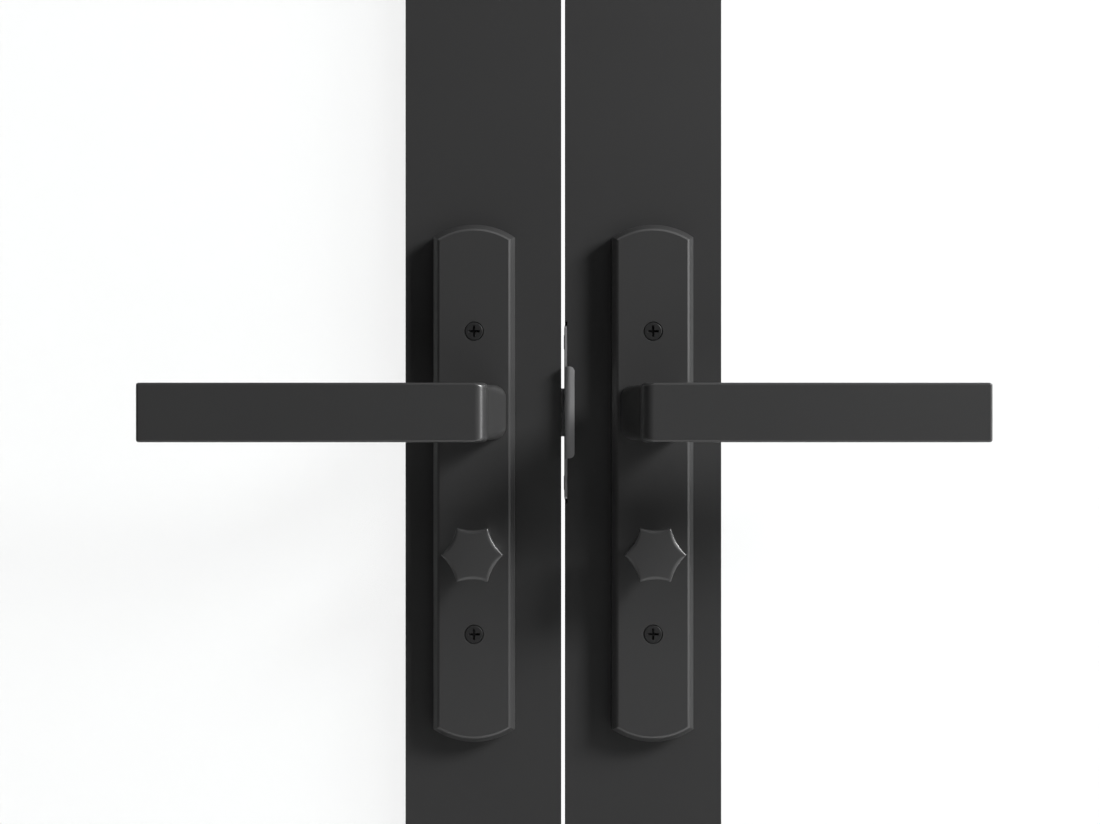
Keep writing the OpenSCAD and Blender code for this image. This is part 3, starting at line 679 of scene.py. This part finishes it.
def star_ring(place, out, share, inset=0.0, scale=1.0, sag=0.0):
    """A ring of the thumb-turn: `share` is 0 on the round stem and 1 on the star."""
    points = []
    for a in turns(STAR_STEPS):
        star = (star_radius(a) - inset) * scale
        r = STEM_R * (1 - share) + star * share
        points.append(place(r * math.cos(a), out - sag * (r / STAR_R) ** 2, r * math.sin(a)))
    return points


def add_star(side):
    """A six-pointed thumb-turn on a round stem, its face slightly domed and its rim rounded."""
    place = placer(side, "front", TURN_Z)
    base = PLATE_T + PLATE_PLAY
    flare = base + STEM_L
    rings = [star_ring(place, out, 0.0) for out in (base, flare)]
    for i in range(1, 9):
        t = i / 8
        rings.append(star_ring(place, flare + (STAR_REACH - STAR_FLANK - flare) * t, eased(t)))
    for i in range(6):
        a = math.radians(90 * i / 5)
        out = STAR_REACH - STAR_RIM - STAR_DOME + STAR_RIM * math.sin(a)
        rings.append(star_ring(place, out, 1.0, inset=STAR_RIM * (1 - math.cos(a))))
    for scale in (0.96, 0.9, 0.8, 0.65, 0.45, 0.25, 0.08):
        rings.append(star_ring(place, STAR_REACH, 1.0, inset=STAR_RIM, scale=scale, sag=STAR_DOME))
    work = bmesh.new()
    loft(work, rings)
    piece = from_bmesh(f"{side}_star_knob", work, handle_coat, sharp=50.0)
    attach(piece, f"{side}_thumb_turn")
    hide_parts(f"{side}_star_turn")


# ---------------------------------------------------------------- screws


def screw_shape(head_r, depth, arm, slot, count=40):
    """A countersunk screw head at the origin facing -Y, with a tapering cross recess."""
    edge = 0.35 * MM
    profile = [(head_r * 0.55, depth), (head_r - edge * 0.2, edge * 1.6), (head_r, edge)]
    for a in (math.radians(30), math.radians(60), math.radians(90)):
        profile.append((head_r - edge * (1 - math.cos(a)), edge * (1 - math.sin(a))))
    work = bmesh.new()
    angles = turns(count)
    loft(work, [[Vector((r * math.cos(a), y, r * math.sin(a))) for a in angles] for r, y in profile])
    head = from_bmesh("screw_head", work, screw_black)
    for wide, tall in ((arm, slot), (slot, arm)):
        rings = []
        for y, share in ((-0.5 * MM, 1.05), (0.0, 1.0), (1.5 * MM, 0.62)):
            w, t = wide / 2 * share, tall / 2 * share
            rings.append([Vector((x, y, z)) for x, z in ((-w, -t), (w, -t), (w, t), (-w, t))])
        cut(head, ring_solid(rings, screw_black))
    return head


def scatter_tree(name):
    """A node tree that sets a shape on every point of a mesh and makes them one plain mesh."""
    tree = bpy.data.node_groups.new(name, "GeometryNodeTree")
    add_socket = tree.interface.new_socket
    add_socket("Points", in_out="INPUT", socket_type="NodeSocketGeometry")
    add_socket("Shape", in_out="INPUT", socket_type="NodeSocketObject")
    add_socket("Finish", in_out="INPUT", socket_type="NodeSocketMaterial")
    add_socket("Geometry", in_out="OUTPUT", socket_type="NodeSocketGeometry")
    start = tree.nodes.new("NodeGroupInput")
    end = tree.nodes.new("NodeGroupOutput")
    info = tree.nodes.new("GeometryNodeObjectInfo")
    spread = tree.nodes.new("GeometryNodeInstanceOnPoints")
    real = tree.nodes.new("GeometryNodeRealizeInstances")
    paint = tree.nodes.new("GeometryNodeSetMaterial")
    join = tree.links.new
    join(start.outputs["Points"], spread.inputs["Points"])
    join(start.outputs["Shape"], info.inputs["Object"])
    join(info.outputs["Geometry"], spread.inputs["Instance"])
    join(spread.outputs["Instances"], real.inputs["Geometry"])
    join(real.outputs["Geometry"], paint.inputs["Geometry"])
    join(start.outputs["Finish"], paint.inputs["Material"])
    join(paint.outputs["Geometry"], end.inputs["Geometry"])
    return tree


scatter = scatter_tree("scatter")


def scattered(name, points, shape, finish):
    """One piece made of a shape set at each point."""
    mesh = bpy.data.meshes.new(name)
    mesh.from_pydata([tuple(p) for p in points], [], [])
    piece = bpy.data.objects.new(name, mesh)
    bpy.context.collection.objects.link(piece)
    step = piece.modifiers.new("scatter", "NODES")
    step.node_group = scatter
    keys = {item.name: item.identifier for item in scatter.interface.items_tree}
    step[keys["Shape"]] = shape
    step[keys["Finish"]] = finish
    applied(piece)
    return crisp(piece)


def add_screws():
    """Plate screws and hinge screws, each kind from one shape."""
    big = screw_shape(SCREW_HEAD_R, depth=2.6 * MM, arm=5.6 * MM, slot=1.15 * MM)
    for side, sign in SIDES.items():
        points = [(sign * AXIS_X, -LEAF_FACE - PLATE_T + SCREW_SINK, z) for z in SCREW_ZS]
        piece = scattered(f"{side}_plate_screw_heads", points, big, screw_black)
        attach(piece, f"{side}_leaf")
        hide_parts(f"{side}_plate_screws")
    bpy.data.objects.remove(big)
    small = screw_shape(4.0 * MM, depth=2.2 * MM, arm=4.8 * MM, slot=1.0 * MM, count=28)
    for node, body in (
        ("frame_hinge_screws", "frame"),
        ("left_hinge_screws", "left_leaf"),
        ("right_hinge_screws", "right_leaf"),
    ):
        piece = scattered(node + "_heads", screw_places(node), small, screw_black)
        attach(piece, body)
        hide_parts(node)
    bpy.data.objects.remove(small)


def screw_places(node):
    """The middle of each screw's head in a CAD node of separate screws, at the height of its face."""
    work = merged_copy(node)
    left = set(work.verts)
    places = []
    while left:
        seed = left.pop()
        group, queue = [seed], [seed]
        while queue:
            for e in queue.pop().link_edges:
                for v in e.verts:
                    if v in left:
                        left.remove(v)
                        group.append(v)
                        queue.append(v)
        xs = [v.co.x for v in group]
        zs = [v.co.z for v in group]
        places.append(((min(xs) + max(xs)) / 2, min(v.co.y for v in group), (min(zs) + max(zs)) / 2))
    work.free()
    return sorted(places)


# ---------------------------------------------------------------- strike

STRIKE_T = 1.4 * MM
STRIKE_CORNER_R = 1.5 * MM
LIP_HALF_H = 22.0 * MM
LIP_CORNER_R = 2.4 * MM
LIP_BEND_R = 2.8 * MM  # outside the curl
WINDOW_HALF_D = 7.0 * MM
WINDOW_HALF_H = 12.75 * MM
WINDOW_CORNER_R = 0.8 * MM


def lip_path():
    """The middle of the lip's wall seen from above, from the leaf's edge to its curled free end."""
    x = strike_low[0] + STRIKE_T / 2
    bend = LIP_BEND_R - STRIKE_T / 2
    cx, cy = x + bend, strike_low[1] + STRIKE_T / 2 + bend
    path = [(x, -LEAF_FACE + 3 * MM), (x, -LEAF_FACE)]
    path += arc(cx, cy, bend, 180, 270, 10)
    for i in range(1, 9):
        path.append((cx + (strike_high[0] - cx) * math.sin(math.radians(90 * i / 8)), cy - bend))
    return path


def strike_lip():
    """The lip alone, its free end with round corners."""
    steps = 12
    work = bmesh.new()
    rows = []
    for x, y in lip_path():
        over = max(0.0, x - (strike_high[0] - LIP_CORNER_R))
        half = LIP_HALF_H - LIP_CORNER_R + math.sqrt(max(LIP_CORNER_R**2 - over**2, 0.0))
        zs = [LEVER_Z - half + 2 * half * j / steps for j in range(steps + 1)]
        rows.append([work.verts.new((x, y, z)) for z in zs])
    for a, b in zip(rows, rows[1:]):
        for j in range(steps):
            work.faces.new((a[j], b[j], b[j + 1], a[j + 1]))
    lip = from_bmesh("lip", work, strike_steel, sharp=30.0)
    step = lip.modifiers.new("wall", "SOLIDIFY")
    step.thickness = STRIKE_T
    step.offset = 0.0
    step.use_even_offset = True
    return round_edges(lip, 0.28 * MM, 3, 50)


def edge_rings(ring, x0, x1):
    """Two rings of (y, z) points round the levers' height, at two places across the leaf's edge."""
    return [[Vector((x, y, LEVER_Z + z)) for y, z in ring] for x in (x0, x1)]


def add_strike():
    """The strike: a flat plate with the bolt's window, and a lip curled outwards with round corners."""
    x0 = strike_low[0]
    half = (strike_high[2] - strike_low[2]) / 2
    outline = rounded_rect(-LEAF_FACE + 0.2 * MM, strike_high[1], half, STRIKE_CORNER_R)
    window = rounded_rect(-WINDOW_HALF_D, WINDOW_HALF_D, WINDOW_HALF_H, WINDOW_CORNER_R)
    plate = ring_solid(edge_rings(outline, x0, x0 + STRIKE_T), strike_steel)
    cut(plate, ring_solid(edge_rings(window, x0 - PAST, x0 + 3 * PAST), strike_steel))
    round_edges(plate, 0.15 * MM, 2, 50)
    cut(plate, strike_lip(), "UNION")
    plate.name = "right_strike_plate"
    crisp(plate)
    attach(plate, "right_leaf")
    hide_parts("right_strike")


# ---------------------------------------------------------------- frame and leaf details

THRESHOLD_T = 20.0 * MM
RIB_SECTION = ((-1.1 * MM, 0.0), (-0.6 * MM, 0.6 * MM), (0.6 * MM, 0.6 * MM), (1.1 * MM, 0.0))
RIB_SINK = 0.05 * MM
RIB_COUNT = 8
RIB_PITCH = 4.5 * MM
FIRST_RIB = 7.0 * MM  # from the threshold's front
RIB_ENDS = 30.0 * MM  # how much shorter than the threshold the ribs are
KEEP_PLAY = 1.0 * MM  # clear all round the keep


def add_tread():
    """Low ribs along the threshold's top against slipping, cut away round the bottom bolt's keep."""
    low, high = span("threshold")
    half = (high[0] - low[0] - RIB_ENDS) / 2
    ends = [[Vector((x, y, z)) for y, z in RIB_SECTION] for x in (-half, half)]
    rib = ring_solid(ends, threshold_metal)
    points = [(0, low[1] + FIRST_RIB + RIB_PITCH * i, THRESHOLD_T - RIB_SINK) for i in range(RIB_COUNT)]
    piece = scattered("threshold_tread", points, rib, threshold_metal)
    bpy.data.objects.remove(rib)
    low, high = span("threshold_keep")
    x0, y0, x1, y1 = low[0] - KEEP_PLAY, low[1] - KEEP_PLAY, high[0] + KEEP_PLAY, high[1] + KEEP_PLAY
    outline = [(x0, y0), (x1, y0), (x1, y1), (x0, y1)]
    heights = (THRESHOLD_T - 2 * MM, THRESHOLD_T + 2 * MM)
    cut(piece, ring_solid([[Vector((x, y, z)) for x, y in outline] for z in heights], threshold_metal))
    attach(piece, "frame")


def soften_sections():
    """Softened copies of the plain CAD sections, each on its own body."""
    for side in SIDES:
        leaf = f"{side}_leaf"
        for part in ("lock_stile", "hinge_stile", "top_rail", "bottom_rail"):
            piece = softened(f"{side}_{part}", profile_coat, 0.45 * MM)
            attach(piece, leaf)
        piece = softened(f"{side}_beads", profile_coat, 0.5 * MM)
        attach(piece, leaf)
        for part, body in (("leaf_flaps", leaf), ("frame_flaps", "frame"), ("hinge_pins", "frame")):
            piece = softened(f"{side}_{part}", hinge_coat, 0.4 * MM)
            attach(piece, body)
        piece = softened(f"{side}_jamb", profile_coat, 0.8 * MM)
        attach(piece, "frame")
    for node, finish, slot in (
        ("head", profile_coat, "profile_black"),
        ("threshold", threshold_metal, "threshold_aluminium"),
    ):
        piece = softened(node, finish, 0.8 * MM)
        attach(piece, "frame")
    # The bolts and faceplate take the brightened bolt steel, whose pale tone is painted light standing
    # in for light in the gap.
    for node, body in (
        ("left_latch_bolt", "left_latch"),
        ("left_dead_bolt", "left_dead_bolt"),
        ("left_faceplate", "left_leaf"),
    ):
        piece = softened(node, bolt_steel, 0.35 * MM, 3)
        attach(piece, body)


def paint(node, finish):
    """Gives a carried-over CAD node its finish."""
    data = frame["nodes"][node].data
    data.materials.clear()
    data.materials.append(finish)


def paint_cad():
    """Finishes of the CAD nodes that show as they are."""
    for side in SIDES:
        paint(f"{side}_panes", glass)
        paint(f"{side}_spacer", spacer_metal)
        paint(f"{side}_gaskets", seal_rubber)
        paint(f"{side}_lever_spindle", spindle_steel)
        paint(f"{side}_turn_spindle", handle_coat)
    paint("stop_seal", seal_rubber)
    for node in ("head_keep", "threshold_keep", "left_lock_case", "right_gearbox", "left_latch_spring"):
        paint(node, zinc)
    for node in ("right_top_bolt", "right_bottom_bolt"):
        paint(node, rod_steel)
    paint("right_rod_guides", guide_nylon)
    paint("right_strike_screws", screw_black)


# ---------------------------------------------------------------- studio


def heading(azimuth, elevation):
    """A direction seen from the doors, in degrees to the right of straight out and degrees up."""
    a, e = math.radians(azimuth), math.radians(elevation)
    return Vector((math.sin(a) * math.cos(e), -math.cos(a) * math.cos(e), math.sin(e)))


def add_light(name, azimuth, elevation, distance, size, power):
    """A soft area light in a direction from the handles, aimed at them."""
    aim = Vector((0.0, -LEAF_FACE, LEVER_Z))
    data = bpy.data.lights.new(name, "AREA")
    data.shape = "RECTANGLE"
    data.size, data.size_y = size
    data.energy = power
    light = bpy.data.objects.new(name, data)
    bpy.context.collection.objects.link(light)
    light.location = aim + heading(azimuth, elevation) * distance
    light.visible_camera = False
    light.rotation_euler = (aim - light.location).to_track_quat("-Z", "Y").to_euler()


def add_world():
    """Surroundings that look white, but light the doors only softly and mostly from behind them."""
    world = bpy.data.worlds.new("studio")
    bpy.context.scene.world = world
    world.use_nodes = True
    tree = world.node_tree
    tree.nodes.clear()
    link = tree.links.new
    rays = tree.nodes.new("ShaderNodeLightPath")
    place = tree.nodes.new("ShaderNodeTexCoord")
    parts = tree.nodes.new("ShaderNodeSeparateXYZ")
    level = tree.nodes.new("ShaderNodeMapRange")
    level.interpolation_type = "SMOOTHSTEP"
    for key, value in (("From Min", 0.0), ("From Max", 0.6), ("To Min", 0.008), ("To Max", 0.4)):
        level.inputs[key].default_value = value
    seen = tree.nodes.new("ShaderNodeBackground")
    seen.inputs["Strength"].default_value = 1.1
    dim = tree.nodes.new("ShaderNodeBackground")
    for background in (seen, dim):
        background.inputs["Color"].default_value = (1, 1, 1, 1)
    mix = tree.nodes.new("ShaderNodeMixShader")
    out = tree.nodes.new("ShaderNodeOutputWorld")
    link(place.outputs["Generated"], parts.inputs[0])
    link(parts.outputs["Y"], level.inputs["Value"])
    link(level.outputs["Result"], dim.inputs["Strength"])
    link(rays.outputs["Is Camera Ray"], mix.inputs[0])
    link(dim.outputs[0], mix.inputs[1])
    link(seen.outputs[0], mix.inputs[2])
    link(mix.outputs[0], out.inputs["Surface"])


def add_floor():
    """A pale round floor just under the frame."""
    work = bmesh.new()
    bmesh.ops.create_circle(work, cap_ends=True, radius=3.0, segments=96)
    floor = from_bmesh("floor", work, pale_floor("floor"))
    for v in floor.data.vertices:
        v.co.z = -0.5 * MM


def add_studio():
    """White surroundings, a key from the right, a low strip for bright edges, fills and a floor."""
    add_world()
    add_light("key", 62, 27, 2.4, (0.75, 0.75), 73.0)
    add_light("fill", 20, 56, 2.4, (1.3, 1.3), 5.0)
    add_light("edge_strip", 60, -2, 2.4, (0.3, 0.9), 8.0)
    add_light("back_light", 150, 24, 3.2, (1.4, 1.4), 55.0)
    add_light("left_fill", -35, 45, 2.4, (1.2, 1.2), 2.0)
    add_floor()
    bpy.context.scene.view_settings.view_transform = "Standard"


# ---------------------------------------------------------------- build

paint_cad()
soften_sections()
for side in SIDES:
    for face in FACES:
        add_plate(side, face)
        add_lever(side, face)
    add_star(side)
add_screws()
add_strike()
add_tread()
add_studio()
